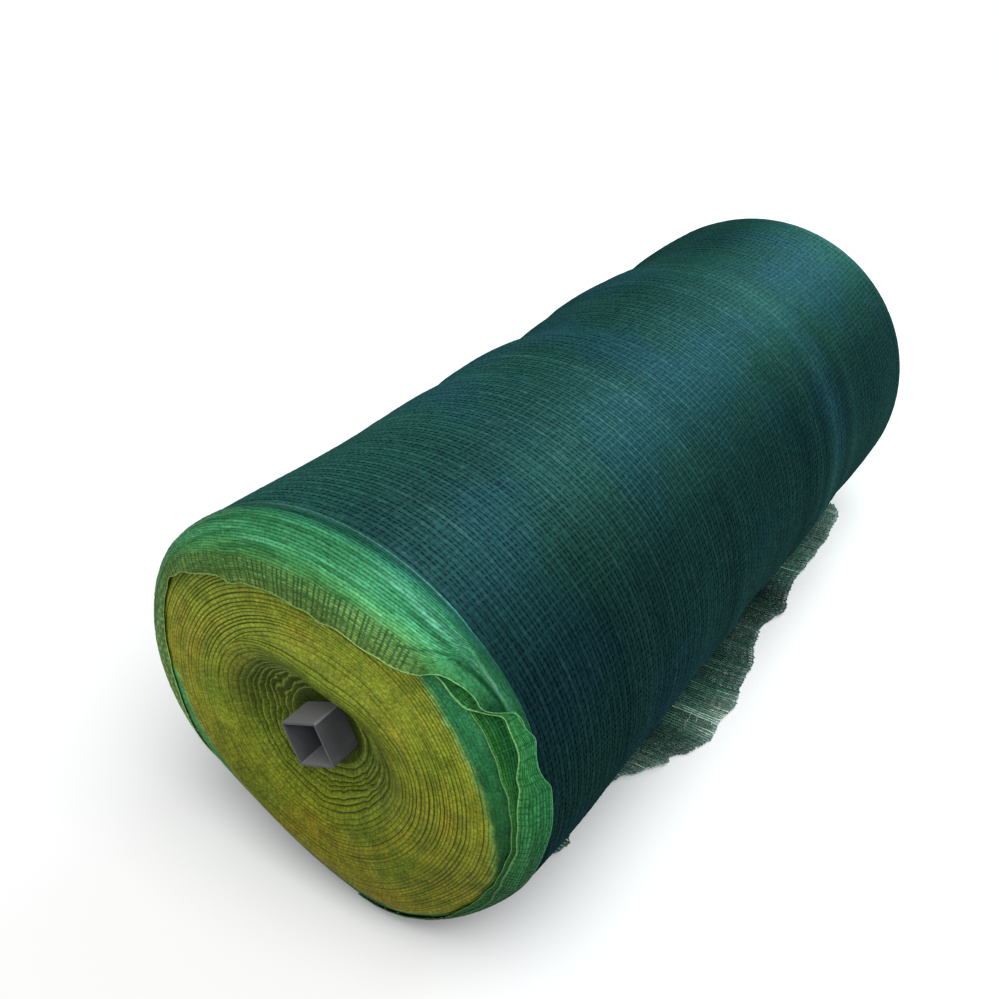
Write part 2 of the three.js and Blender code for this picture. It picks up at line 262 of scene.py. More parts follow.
def roll_point(radius, angle, along):
    height = np.maximum(AXIS_HEIGHT + radius * np.sin(angle), 0.3)
    return np.stack(np.broadcast_arrays(radius * np.cos(angle), along, height), axis=-1)


def end_point(reach, angle, side, lift=0.0):
    """A point on an end of the roll, reach mm along its curve from the tube, lifted off it."""
    radius, out = (np.interp(reach, end_steps, column) for column in end_line.T)
    over, rise = (np.interp(reach, end_steps, column) for column in end_slope.T)
    share = reach / END_LENGTH
    from_tube = (radius - HOLLOW_FROM) / (HOLLOW_TO - HOLLOW_FROM)
    stretch, wave = (
        sum(h * np.cos(n * (angle - math.radians(a))) for n, h, a in waves)
        for waves in (HOLLOW_WAVES, FACE_WAVES)
    )
    stretch = stretch * eased(3 * from_tube) * eased(3 * (1 - from_tube) + 1)
    out = out + wave * eased(3 * share) * eased(3 * (1 - share))
    if side < 0:
        drop = sum(d * lobe(angle, a, w) for a, d, w in END_DROPS)
        out = out - drop * eased((radius - DROP_FROM) / (DROP_TO - DROP_FROM))
    plane = NEAR_PLANE if side < 0 else FAR_PLANE
    radius = radius * (1 + stretch) - rise * lift + body_swell(plane, angle) * eased(share)
    point = roll_point(radius, angle, plane + side * (out + over * lift))
    point[..., 0] += TUBE_SHIFT * (1 - eased(from_tube))
    return point


def flank_point(along, angle, lift=0.0):
    """A point on the roll's outside. Past the body's ends, along goes on down the ends' curves."""
    along, angle, lift = np.broadcast_arrays(along, angle, lift)
    radius = ROLL_RADIUS + body_swell(along, angle) + crease(along, angle) + lift
    body = roll_point(radius, angle, along)
    near = end_point(END_LENGTH - np.maximum(BODY_FROM - along, 0), angle, -1, lift)
    far = end_point(END_LENGTH - np.maximum(along - BODY_TO, 0), angle, 1, lift)
    body = np.where((along < BODY_FROM)[..., None], near, body)
    return np.where((along > BODY_TO)[..., None], far, body)


def map_boxes(u, v, du, dv):
    """The corners of the boxes that faces fill on their piece's map."""
    u, v = np.broadcast_arrays(u, v)
    return np.stack([u, v, u + du, v, u + du, v + dv, u, v + dv], -1).reshape(-1, 8)


def grid_faces(rows, columns):
    """Faces of a grid of points whose rows run round the roll, and their map."""
    j, i = np.arange(columns), np.arange(rows - 1)[:, None]
    here, after = i * columns + j, i * columns + (j + 1) % columns
    faces = np.stack([here, after, after + columns, here + columns], -1).reshape(-1, 4)
    return faces, map_boxes(j / columns, i / (rows - 1), 1 / columns, 1 / (rows - 1))


def make_piece(name, points, faces, chart, finish, **values):
    """A smooth mesh from points in mm, with its map for baking and its named values per point."""
    mesh = bpy.data.meshes.new(name)
    mesh.from_pydata((points.reshape(-1, 3) * MM).tolist(), [], faces.tolist())
    mesh.shade_smooth()
    mesh.uv_layers.new(name="OFBake").data.foreach_set("uv", chart.ravel().astype(np.float32))
    for value_name, value in values.items():
        layer = mesh.attributes.new(value_name, "FLOAT", "POINT")
        layer.data.foreach_set("value", np.ascontiguousarray(value, np.float32).ravel())
    mesh.materials.append(finish)
    piece = bpy.data.objects.new(name, mesh)
    bpy.context.scene.collection.objects.link(piece)
    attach(piece, "root")
    return piece


def value_of(finish, name):
    return put(finish, "Attribute", attribute_name=name).outputs["Fac"]


# Painted light and shade round the flank, as degrees round the roll and red, green and blue factors: darkest
# low down, with a painted sheen where the flank faces the light.
FLANK_ROUND = [
    (0, 0.78, 0.48, 0.56), (5, 0.66, 0.45, 0.54), (20, 0.57, 0.4, 0.48), (35, 0.7, 0.5, 0.55),
    (50, 1.25, 0.9, 0.95), (65, 2.1, 1.38, 1.6), (80, 1.6, 1.08, 1.25), (95, 1.25, 0.95, 1.0),
    (112, 1.4, 0.97, 1.05), (140, 1.2, 0.9, 0.96), (160, 0.9, 0.7, 0.76), (180, 0.78, 0.48, 0.56),
]
# Painted light along the flank, on its front and on its top: shares of the way from the near end to the far
# end, and factors.
FLANK_LENGTH = [
    [(0.03, 0.7), (0.12, 0.82), (0.35, 0.96), (0.6, 1.06), (0.78, 1.2), (0.9, 1.27)],
    [(0.05, 1.22), (0.25, 1.2), (0.4, 1.02), (0.6, 0.88), (0.78, 0.8), (0.88, 0.68)],
]
ROUND_ROOM = 2.5  # keeps the shares round the roll under 1 in their ramp


def painted_light_round(finish):
    """Painted light and shade on the flank's colour round the roll: painted shade low down, a painted sheen
    where it faces the light, painted rings, and painted light along the roll on its front and top. Below the
    middle of the roll it stays as it is there."""
    x, y, z = parts(finish, object_place(finish))
    turn = sums(finish, "ARCTAN2", sums(finish, "SUBTRACT", z, AXIS_HEIGHT * MM), x)
    stops = [(degrees / 180, np.array(colour) / ROUND_ROOM) for degrees, *colour in FLANK_ROUND]
    share = ramp(finish, sums(finish, "DIVIDE", turn, math.pi), stops, "CARDINAL")
    # Painted light and shade in rings.
    share = times(finish, share, value_of(finish, "pull"))
    along = sums(finish, "ADD", y, 0.5)
    front, top = (
        ramp(finish, along, [(place, part * ROUND_ROOM) for place, part in length])
        for length in FLANK_LENGTH
    )
    on_top = ramp(finish, sums(finish, "SUBTRACT", 0.5, x), [(0.46, 0), (0.54, 1)])
    return times(finish, share, mixed(finish, on_top, front, top))


def below_green():
    """Darker green than the outer net, as painted shade in its gaps, with faint wefts that wander; painted
    lighter towards the far end, painted shade low down, and the flank's painted light round the roll.
    """
    finish = new_finish("turns_below")
    place = object_place(finish)
    weft = sums(finish, "MULTIPLY", noise(finish, place, 7.0), 19.0)
    weft = sums(finish, "ADD", value_of(finish, "round_mm"), weft)
    weft = sums(finish, "SINE", sums(finish, "MULTIPLY", weft, 2 * math.pi / WEFT_PITCH))
    # Painted shade: these plies are a darker green than the outer net, for the shade in its gaps.
    patches = tint(finish, noise(finish, place, 4.0, 3.0), (0.35, 21, 58, 53), (0.65, 21, 58, 60))
    green = mixed(finish, ramp(finish, weft, [(0.1, 0), (0.75, 1)]), shade(16, 47, 45), patches)
    _, y, z = parts(finish, place)
    # Painted light towards the far end, and painted shade low down.
    far = ramp(finish, sums(finish, "ADD", y, 0.5), [(0.15, 1), (0.4, 1.6), (0.85, 2)])
    green = times(finish, green, far, ramp(finish, z, [(0.2, 0.45), (0.33, 1)]))
    # The flank's painted light and shade round the roll.
    green = times(finish, green, painted_light_round(finish))
    coat(finish, Base_Color=green, Roughness=0.7, Specular_IOR_Level=0.0)
    return finish


below_along = np.linspace(BODY_FROM - 34, BODY_TO + 50, BELOW_ROWS)[:, None]
below_angle = np.linspace(0, 2 * math.pi, BELOW_STEPS, endpoint=False)[None, :]
below_along, below_angle = np.broadcast_arrays(below_along, below_angle)
turns_below = make_piece(
    "turns_below", flank_point(below_along, below_angle, -BELOW_DEPTH), *grid_faces(BELOW_ROWS, BELOW_STEPS),
    below_green(), round_mm=np.abs(np.angle(np.exp(1j * below_angle))) * ROLL_RADIUS,
    pull=pulled(below_along, below_angle),
)
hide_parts("net_roll")


# Outer ply: the knitted net as it shows on the flank. Chains of stitches run round the roll about
# 9.5 mm apart, those of the ply below show between them, and wefts about 5.8 mm apart cross them.
CHAIN_PITCH = 9.5
CHAIN_HALF, BETWEEN_HALF, WEFT_HALF = 2.3, 1.5, 1.25
WEFT_COUNT, WEFT_STEPS = 222, 100
WEFT_WAVES = [(3.0, 95, 1.0), (1.2, 31, 0.0)]
NET_FROM, NET_TO = BODY_FROM - 33, BODY_TO + 46
FADE_STEPS = 6  # wefts from one change of a chain's tone to the next
flank_rng = np.random.default_rng(41)


def tent_yarns(left, crest, right, closed):
    """Yarns that lie on what is below them, each a row of left, crest and right points."""
    points = np.stack([left, crest, right], axis=2)
    yarns, steps = points.shape[:2]
    index = np.arange(yarns * steps * 3).reshape(yarns, steps, 3)
    ahead = np.roll(index, -1, axis=1) if closed else index[:, 1:]
    here = index if closed else index[:, :-1]
    faces = np.stack([here[..., :-1], here[..., 1:], ahead[..., 1:], ahead[..., :-1]], -1)
    n = here.shape[1]
    u = np.arange(n)[None, :, None] / n
    v = (np.arange(yarns)[:, None, None] + 0.1 + 0.4 * np.arange(2)) / yarns
    u, v = np.broadcast_arrays(u, v)
    chart = np.stack([u, v, u, v + 0.4 / yarns, u + 1 / n, v + 0.4 / yarns, u + 1 / n, v], -1)
    return points, faces.reshape(-1, 4), chart.reshape(-1, 8)


chain_base = np.arange(NET_FROM, NET_TO, CHAIN_PITCH / 2)[:, None]
chain_base = chain_base + flank_rng.normal(0, 0.25, chain_base.shape)
chain_outer = (np.arange(chain_base.size) % 2 == 0)[:, None]
chain_angle = np.linspace(0, 2 * math.pi, WEFT_COUNT, endpoint=False)[None, :]
weave_drift = 1.6 * np.sin(3 * chain_angle + 0.6) + 0.9 * np.sin(7 * chain_angle + 2.1)
chain_along = chain_base + weave_drift * np.cos(chain_base / 150)
chain_along = chain_along + flank_rng.normal(0, 0.26, chain_along.shape)
chain_half = np.where(chain_outer, CHAIN_HALF, BETWEEN_HALF)
chain_half = chain_half * flank_rng.uniform(0.72, 1.14, chain_along.shape)
chain_lift = np.where(chain_outer, 0.35, -0.1) + flank_rng.normal(0, 0.08, chain_along.shape)
chain_lines = [
    flank_point(chain_along + side * chain_half, chain_angle, lift)
    for side, lift in ((-1, -0.6), (0, chain_lift), (1, -0.6))
]

weft_angle = (np.arange(WEFT_COUNT) * 2 * math.pi / WEFT_COUNT)[:, None]
weft_along = np.linspace(NET_FROM, NET_TO, WEFT_STEPS)[None, :]
weft_sway = 0.7 * np.where(np.arange(WEFT_STEPS) % 2, 1, -1)[None, :]
weft_mm = weft_angle * ROLL_RADIUS + weft_sway + flank_rng.normal(0, 0.3, (WEFT_COUNT, WEFT_STEPS))
weft_mm = weft_mm + sum(h * np.sin(weft_along / length + start) for h, length, start in WEFT_WAVES)
weft_half = WEFT_HALF * flank_rng.uniform(0.8, 1.2, (WEFT_COUNT, 1))
weft_lines = [
    flank_point(weft_along, (weft_mm + side * weft_half) / ROLL_RADIUS, lift)
    for side, lift in ((-1, -0.75), (0, -0.3), (1, -0.75))
]


def knitted_green():
    """Dark teal green by the yarn's own tone, with bluer patches, fibres, knots at the wefts, and the flank's
    painted light and shade round the roll.
    """
    finish = new_finish("net_dark")
    place = object_place(finish)
    x, y, z = parts(finish, place)
    knot = sums(finish, "ARCTAN2", sums(finish, "SUBTRACT", z, AXIS_HEIGHT * MM), x)
    knot = sums(finish, "MULTIPLY", knot, float(WEFT_COUNT))
    for height, length, start in WEFT_WAVES:
        wave = sums(finish, "SINE", sums(finish, "ADD", sums(finish, "DIVIDE", y, length * MM), start))
        wave = sums(finish, "MULTIPLY", wave, height * WEFT_COUNT / ROLL_RADIUS)
        knot = sums(finish, "SUBTRACT", knot, wave)
    knots = ramp(finish, sums(finish, "COSINE", knot), [(0.0, 0.72), (0.9, 1.2)])
    green = tint(finish, value_of(finish, "tone"), (0.0, 19, 54, 51), (0.5, 28, 74, 70), (1.0, 42, 92, 87))
    patch = noise(finish, place, 6.0, 3.0)
    patches = ramp(finish, patch, [(0.42, (1.0, 1.04, 0.92)), (0.6, (0.95, 1.0, 1.15))])
    specks = ramp(finish, noise(finish, place, 330.0), [(0.32, 0.45), (0.68, 1.45)])
    # The last layer is the flank's painted light and shade round the roll.
    for layer, share in ((patches, 1.0), (specks, 0.42), (knots, 0.35), (painted_light_round(finish), 1.0)):
        green = times(finish, green, layer, share)
    coat(finish, Base_Color=green, Roughness=0.6, Specular_IOR_Level=0.0)
    return finish


net_dark = knitted_green()
chain_fade = flank_rng.normal(0, 0.06, (chain_base.size, WEFT_COUNT // FADE_STEPS + 1))
chain_fade = np.stack([
    np.interp(np.arange(WEFT_COUNT) / FADE_STEPS, np.arange(line.size), line) for line in chain_fade
])
chain_fade = chain_fade + flank_rng.normal(0, 0.06, chain_along.shape)
chain_fade = chain_fade + flank_rng.normal(0, 0.035, chain_base.shape)
chain_plain = eased((chain_base - BODY_FROM) / (BODY_TO - BODY_FROM))
# Painted shade: the chains of the ply below are a darker tone than the outer ones.
chain_tone = np.where(chain_outer, 0.6 - 0.05 * chain_plain, 0.44 + 0.08 * chain_plain)
chain_tone = chain_tone + chain_fade * (1.05 - 0.75 * chain_plain)
chain_tone = np.clip(chain_tone + 0.12 * crease(chain_along, chain_angle), 0, 1)
flank_chains = make_piece(
    "flank_chains", *tent_yarns(*chain_lines, True), net_dark,
    tone=np.repeat(chain_tone, 3, axis=1), pull=np.repeat(pulled(chain_along, chain_angle), 3, axis=1),
)
weft_tone = flank_rng.normal(0.2, 0.05, (WEFT_COUNT, 1)) + flank_rng.normal(0, 0.06, weft_mm.shape)
weft_tone = np.clip(weft_tone, 0, 1)
flank_wefts = make_piece(
    "flank_wefts", *tent_yarns(*weft_lines, False), net_dark,
    tone=np.repeat(weft_tone, 3, axis=1),
    pull=np.repeat(pulled(weft_along, weft_mm / ROLL_RADIUS), 3, axis=1),
)
for flank_piece in (flank_chains, flank_wefts):
    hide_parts("net_roll")


# Wound ends: the turns' selvedges seen edge on, yellow-green, in turns of uneven width. Round the
# tube the innermost turns have slipped back into a wavy hollow.
TURN_PITCH, HOLLOW_PITCH = 3.5, 4.8
NEAR_TURN = [(0.0, 1.0), (0.26, 0.35), (0.56, 0.12), (0.8, 0.0)]
FAR_TURN = [(0.0, 1.0), (0.35, 0.2), (0.75, 0.0)]
END_MARGIN = 7  # left free for the outer ply, along an end's curve
END_RUFFLES = [(1.5, 0, 34, 9), (0.5, 0, 20, 31), (0, 2.4, 26, 12), (0, 1.3, 14, 41), (0.25, 0.9, 9, 73)]
OPEN_LOBES = [(-22, 0.14, 42), (130, 0.25, 34)]
SEAM_ANGLE = math.radians(95)  # below the axis, where a turn's points begin
TUBE_TURN, TUBE_ROOM = math.radians(24), 21.9  # how the tube lies, and half its width with clearance
INNER_SHARES = (0, 0.35, 0.7)  # of the way from the tube to the first turn
YELLOW_EDGE = [
    (-180, 166), (-172, 161), (-160, 159), (-150, 152), (-140, 148), (-125, 147), (-110, 149), (-100, 155),
    (-90, 160), (-80, 167), (-65, 182), (-50, 191), (-37, 188), (-27, 184), (-17, 178.5), (-10, 175),
    (0, 170.5), (15, 165.5), (25, 163), (37, 161.5), (47, 165), (60, 172), (90, 178), (130, 188),
    (150, 191), (162, 188), (171, 180), (180, 170),
]
# Painted light and shade on the ends' green by height: darker low down, much lighter up top.
GREEN_LIGHT_BY_HEIGHT = [
    (0.15, (0.6, 0.72, 0.68)), (0.18, (0.62, 0.66, 0.66)), (0.2, (0.68, 0.7, 0.7)),
    (0.235, (0.85, 0.8, 0.82)), (0.265, (1.1, 0.95, 0.98)), (0.3, (1.9, 1.4, 1.5)),
]
# Painted light and shade on the ends by height: darker and warmer low down, bluer up top.
END_LIGHT_BY_HEIGHT = [
    (0.0, (0.58, 0.52, 0.38)), (0.1, (0.68, 0.6, 0.37)), (0.2, (0.86, 0.85, 0.7)),
    (0.3, (0.93, 1.0, 1.16)), (0.36, (0.94, 1.05, 1.3)),
]


def ruffle(rng, place, angle, length, lobes):
    """An uneven waviness from -1 to 1, changing every so many mm and so often round the roll."""
    knots = rng.uniform(-1, 1, (int(np.max(place) / length) + 3, lobes))
    i_at, j_at = place / length, (angle % (2 * math.pi)) / (2 * math.pi) * lobes
    i, j = np.floor(i_at).astype(int), np.floor(j_at).astype(int) % lobes
    s, t, j_next = eased(i_at - i), eased(j_at - np.floor(j_at)), (j + 1) % lobes
    first, second = (knots[k, j] + (knots[k, j_next] - knots[k, j]) * t for k in (i, i + 1))
    return first + (second - first) * s


def wound_end(name, side, seed, profile, round_steps, finish):
    """An end of the roll. The profile lists the rows of one turn: how far across it and how deep."""
    rng = np.random.default_rng(seed)
    phases, depths = np.array(profile, float).T
    borders = [0.0]
    while borders[-1] < END_LENGTH - 12:
        pitch = HOLLOW_PITCH + (TURN_PITCH - HOLLOW_PITCH) * eased((borders[-1] - 25) / 55)
        borders.append(borders[-1] + pitch * rng.uniform(0.72, 1.3))
    borders = np.array(borders)
    borders = borders * (END_LENGTH - END_MARGIN) / borders[-1]
    widths = np.diff(borders)
    row = (borders[:-1, None] + widths[:, None] * phases).ravel()[:, None]
    turn = np.repeat(np.arange(widths.size), phases.size)[:, None]
    depth, across = (np.tile(column, widths.size)[:, None] for column in (depths, phases))
    angle = (np.linspace(0, 2 * math.pi, round_steps, endpoint=False) - SEAM_ANGLE)[None, :]
    in_hollow = 1 - eased((row - 22) / 36)
    drift = 1.4 * np.sin(angle + 2 + row / 60) + 1.0 * np.sin(2 * angle + 5 + row / 50)
    for height, more, length, lobes in END_RUFFLES:
        drift = drift + (height + more * in_hollow) * ruffle(rng, row, angle, length, lobes)
    reach = row + drift * eased(row / 14) * eased((END_LENGTH - END_MARGIN - row) / 25)
    opened = 0.5 + sum(h * lobe(angle, a, w) for a, h, w in OPEN_LOBES)
    opened = opened + 0.22 * ruffle(rng, row, angle, 45, 8) + 0.2 * ruffle(rng, turn, angle, 1, 6)
    opened = np.clip(opened, 0.06, 1) * (1 - in_hollow) + 0.7 * in_hollow
    slip = ruffle(rng, turn, angle, 1, 7)
    lift = 0.3 - (1.3 + 1.4 * in_hollow) * opened * depth - (0.45 + 1.3 * in_hollow) * (1 - slip)
    lift = lift - 2 * eased((row - END_LENGTH + 40) / 8) * eased((np.sin(angle) + 0.8) / 0.3)
    points = end_point(reach, angle, side, lift * eased(row / 8))
    half = TUBE_ROOM / np.maximum(np.abs(np.cos(angle - TUBE_TURN)), np.abs(np.sin(angle - TUBE_TURN)))
    plane = NEAR_PLANE if side < 0 else FAR_PLANE
    inner = np.concatenate([
        roll_point(half + (HOLLOW_FROM - half) * t, angle, plane + side * (5 * t - 1)) for t in INNER_SHARES
    ])
    inner[..., 0] += TUBE_SHIFT
    points = np.concatenate([inner, points])
    radius = np.interp(reach, end_steps, end_line[:, 0])
    if side < 0:
        edge = np.interp(np.degrees(np.angle(np.exp(1j * angle))), *np.array(YELLOW_EDGE, float).T)
    else:
        edge = 178 + 4 * np.sin(2 * angle + 1)
    past_edge = radius - edge - 0.5 * np.sin(61 * angle) - 0.6 * np.sin(37 * angle + 1)
    weft_mm = (angle + SEAM_ANGLE) * (HOLLOW_FROM + turn * TURN_PITCH)
    values = {
        "groove": depth * opened * (1 - 0.4 * eased(past_edge / 3)),
        "slip": 0.5 + 0.5 * slip,
        "yellow": 1 - eased((past_edge + 4.5) / 8.5),
        "hollow": 1 - eased((row - 34) / 36),
        "rim": hump(past_edge - 0.5, 3.0),
        "weft_mm": weft_mm + 40 * rng.uniform(-1, 1, widths.size)[turn],
        "crest": (1 - np.clip(np.abs(across - 0.8) / 0.2, 0, 1)) * in_hollow,
    }
    for key, value in values.items():
        value = value + 0 * reach
        values[key] = np.concatenate([np.repeat(value[:1], len(INNER_SHARES), axis=0), value])
    faces, chart = grid_faces(points.shape[0], round_steps)
    if side > 0:
        faces, chart = faces[:, ::-1], chart.reshape(-1, 4, 2)[:, ::-1]
    piece = make_piece(name, points, faces, chart, finish, **values)
    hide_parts("net_roll")


def edge_green():
    """Yellow-green turns with painted shade in their grooves, painted light and shade by height in the
    hollow, and green outside a pale border, painted lighter on the left.
    """
    finish = new_finish("turn_edges")
    place = object_place(finish)
    groove, slip, is_yellow, is_hollow, rim, weft, crest = (
        value_of(finish, name) for name in ("groove", "slip", "yellow", "hollow", "rim", "weft_mm", "crest")
    )
    x, _, z = parts(finish, place)
    mottle = noise(finish, place, 14.0, 4.0)
    fibre = noise(finish, place, 480.0)
    shift = sums(finish, "MULTIPLY", slip, 0.15)
    shift = sums(finish, "ADD", shift, sums(finish, "MULTIPLY", mottle, 0.85))
    yellow = tint(finish, shift, (0.3, 109, 133, 36), (0.5, 136, 146, 40), (0.7, 154, 149, 42))
    # Painted light and shade in the hollow by height: lighter low down, where its turns face up, and dark up
    # top.
    hollow_light_and_shade = tint(finish, z, (0.13, 124, 147, 50), (0.22, 31, 58, 15))
    yellow = mixed(finish, sums(finish, "MULTIPLY", is_hollow, 0.85), yellow, hollow_light_and_shade)
    yellow = mixed(finish, sums(finish, "MULTIPLY", crest, 0.7), yellow, shade(134, 154, 66))
    green = tint(finish, mottle, (0.3, 24, 96, 54), (0.7, 44, 120, 68))
    # Painted light and shade on the green by height.
    green = times(finish, green, ramp(finish, z, GREEN_LIGHT_BY_HEIGHT))
    # Painted light: the green on the left, which lies in shade, is lighter.
    left = ramp(finish, sums(finish, "MULTIPLY", x, -4.0), [(0.3, 0), (0.6, 0.8)])
    green = mixed(finish, left, green, shade(92, 168, 118))
    colour = mixed(finish, is_yellow, green, yellow)
    colour = mixed(finish, sums(finish, "MULTIPLY", rim, 0.42), colour, shade(152, 192, 94))
    # Painted shade: the grooves between the turns are darker.
    dark = mixed(finish, is_yellow, shade(16, 72, 44), shade(60, 72, 8))
    colour = mixed(finish, ramp(finish, groove, [(0.1, 0), (0.7, 1)]), colour, dark)
    tick = sums(finish, "SINE", sums(finish, "MULTIPLY", weft, 2 * math.pi / WEFT_PITCH))
    fray = sums(finish, "MULTIPLY", sums(finish, "SUBTRACT", fibre, 0.5), 1.6)
    ticks = ramp(finish, sums(finish, "ADD", tick, fray), [(0.55, 1), (1.0, (0.45, 0.5, 0.4))])
    specks = ramp(finish, fibre, [(0.3, (0.5, 0.5, 0.42)), (0.7, (1.25, 1.25, 1.2))])
    patch = noise(finish, place, 75.0, 3.0)
    patches = ramp(finish, patch, [(0.34, (0.8, 0.82, 0.8)), (0.66, (1.2, 1.16, 1.2))])
    # The last layer is painted light and shade by height.
    for layer, share in ((ticks, 0.5), (specks, 0.8), (patches, 1.0), (ramp(finish, z, END_LIGHT_BY_HEIGHT), 1.0)):
        colour = times(finish, colour, layer, share)
    grain = put(finish, "Bump", {"Height": fibre, "Strength": 0.3, "Distance": 0.0006})
    coat(finish, Base_Color=colour, Roughness=0.7, Specular_IOR_Level=0.1, Normal=grain.outputs["Normal"])
    return finish


turn_edges = edge_green()
wound_end("near_end", -1, 7, NEAR_TURN, 380, turn_edges)
wound_end("far_end", 1, 19, FAR_TURN, 260, turn_edges)


# Loose selvedges at the near end: the last turn's knitted edge, bright green with close chains and
# a yellow hem, rolls over the shoulder and hangs on the face; on the right it is turned back out.
LIP_ROWS = [
    (20, 10, 12, 0, 0.5, 0.5, 0.5), (25, 10, 15, 0.5, 1.5, 2, 2), (30.5, 10, 20, 1, 3, 4, 5),
    (33, 10, 30, 1, 4, 6, 7), (35, 10, 34.5, 1, 4, 7, 8), (37.5, 10, 34.5, 1, 4, 7, 9),
    (40, 10, 36, 0.8, 4, 7, 9), (42.2, 10, 39, 0.6, 4, 7, 9), (45, 10, 43, 0.5, 4, 7, 9),
    (46.8, 10, 47.5, 0.3, 4, 7, 9), (48.2, 10, 55.5, 0, 4, 7, 8.5), (50, 9.5, 61.5, 0, 4, 7, 8),
    (53.2, 9, 68.5, 0, 4, 7, 7.5), (57.5, 9, 74, 0, 3, 6, 6.5), (64.2, 9, 79.5, 0, 3, 5, 5),
    (74.8, 9, 83, 0, 3, 5, 4.5), (85.8, 9, 81, 0, 3, 5, 4.5), (93.5, 9, 80, 0, 3, 6, 4.5),
    (110, 9, 75, 0, 3, 6, 4.5), (119, 9, 69, 0, 3, 7, 5), (131.5, 9, 58, 0, 4, 7.5, 6),
    (145.8, 9, 45, 0, 4.5, 6.5, 2.2), (150, 9, 47, 0, 4.5, 5.5, 0.8), (156, 9, 50, 0, 4.2, 4.5, 0.2),
    (165, 9, 53, 0, 4, 3, 0), (175, 9, 58.5, 0, 3, 3, 0), (186, 9, 60, 0, 2, 2, 0),
    (205, 9, 49, 0, 0.5, 0.5, 0), (217, 9, 34, 0, 0, 0, 0), (228, 9, 14, 0, 0, 0, 0),
]
LIP_CREST = [
    (20, 30), (30, 36), (40, 44), (46, 50), (50, 49), (54, 48.5), (58, 50), (63, 52.8), (71.5, 55), (80, 56),
    (93, 57), (107, 54), (124, 48), (145, 34.5), (165, 31), (228, 27),
]
LIP_LINES = [
    (34, 21.5, 24, 24.5), (42, 23.5, 27.5, 29), (48.5, 25.5, 29.5, 35), (54, 27, 31.5, 49),
    (58, 26.5, 33, 58), (65, 25.5, 36, 62), (72, 26.5, 39, 62), (80, 27, 42, 62),
]
FLAP_ROWS = [
    (-86, 24, 36, 0, 0, 0, 0), (-68, 17, 40, 0, 0, 0, 0), (-52, 15, 33, 0, 0, 0, 0),
    (-36, 16, 34, 0.5, 0.5, 0.5, 0.3), (-19, 20, 42, 2, 2, 1.5, 1), (-8, 21, 40, 5, 4, 3, 2),
    (2.5, 15.5, 38, 7, 6, 4, 2.5), (8.5, 13.8, 37, 7, 6, 4, 2.5), (12.2, 13.5, 35, 7, 6, 4, 2.5),
    (14, 16.5, 33, 7, 6, 4, 2.2), (16.5, 19, 32, 7, 6, 4, 2), (20.5, 18, 28, 7, 5, 3, 1.5),
    (23.8, 14.2, 26.5, 7, 5, 2.5, 1), (26, 17, 26.5, 6, 4, 2, 0.8), (28.5, 18.5, 26.5, 5, 4, 2, 0.8),
    (30.5, 18.5, 26.5, 4, 4, 2.5, 1.2), (33, 25, 32, 3, 3, 4, 4.5), (34.8, 29, 38, 3, 2, 3, 4.5),
    (36.2, 30, 43, 3, 1.5, 2, 5), (38.8, 32, 46.8, 3, 1, 2, 5), (41, 34, 47.8, 3, 1, 2, 5),
    (43.8, 38, 47.2, 4, 2, 3, 5), (46.8, 44, 48.8, 5, 5, 5, 5.5),
]
PLY_ROWS = [
    (-52, 30, 38, 0, 0, 0.5, 0.5), (-38, 32, 43.5, 0, 0, 0.5, 0.5), (-20, 37, 46, 0, 0, 0.5, 1),
    (-8, 35, 44, 0, 0.5, 1, 1.2), (2, 32, 42, 0, 0.5, 1, 1.5), (10, 29, 42.6, 0, 0.5, 1, 1.5),
    (20, 23, 42.5, 0, 0.5, 1, 1.5), (30, 19, 42.8, 0, 0.5, 1, 1.5), (37, 24, 43, 0, 0.5, 1, 1.2),
    (41, 32, 43, 0, 0.3, 0.6, 0.8),
]
STRIP_VALUES = ("back", "zone", "run", "yarn", "tone", "pale")
STRIP_PITCH, STRIP_RADIUS = 2.3, 190
STRIP_LIFT = 1.8  # off the turns, before a strip's own rise
TURN_STEP, ACROSS_STEP = 0.3, 0.02  # for a strip's directions, in degrees and as a share
ZONE_CREST = 1.6  # a zone is 0 at the body and 1 / 1.6 where a strip turns over
RUN_STEP, RUN_ALL = 3.3, 1200.0  # mm along a strip for a degree, and a little more than all round


def from_rows(rows, at, column):
    """One column of a table at a place, on a smooth line through its rows."""
    keys, values = np.array([(row[0], row[column]) for row in rows], float).T
    slopes = np.gradient(values, keys)
    at = np.clip(at, keys[0], keys[-1])
    i = np.clip(np.searchsorted(keys, at, side="right") - 1, 0, keys.size - 2)
    gap = keys[i + 1] - keys[i]
    return bend((at - keys[i]) / gap, values[i], values[i + 1], slopes[i] * gap, slopes[i + 1] * gap)


def strip_place(rows, degrees, across, sway):
    """How far from the body a place across a loose selvedge lies, along the end's curve."""
    start, hem = from_rows(rows, degrees, 1), from_rows(rows, degrees, 2)
    return start + (hem + sway(degrees) * across**1.5 - start) * across


def strip_point(rows, degrees, across, lift, sway):
    """A point of a loose selvedge at an angle, across from its start to its hem."""
    degrees, across = np.broadcast_arrays(degrees, across)
    start, first, second, end = (from_rows(rows, degrees, column) for column in (3, 4, 5, 6))
    bulge = across * (1 - across) * 4.5
    rise = (start * (1 - across) + end * across) * (1 - bulge)
    rise = rise + (first * (1 - across) + second * across) * bulge
    rise = np.maximum(rise, 0) + 0.3 * np.abs(sway(degrees)) * across**1.5
    reach = END_LENGTH - strip_place(rows, degrees, across, sway)
    return end_point(reach, np.radians(degrees), -1, STRIP_LIFT + rise + lift)


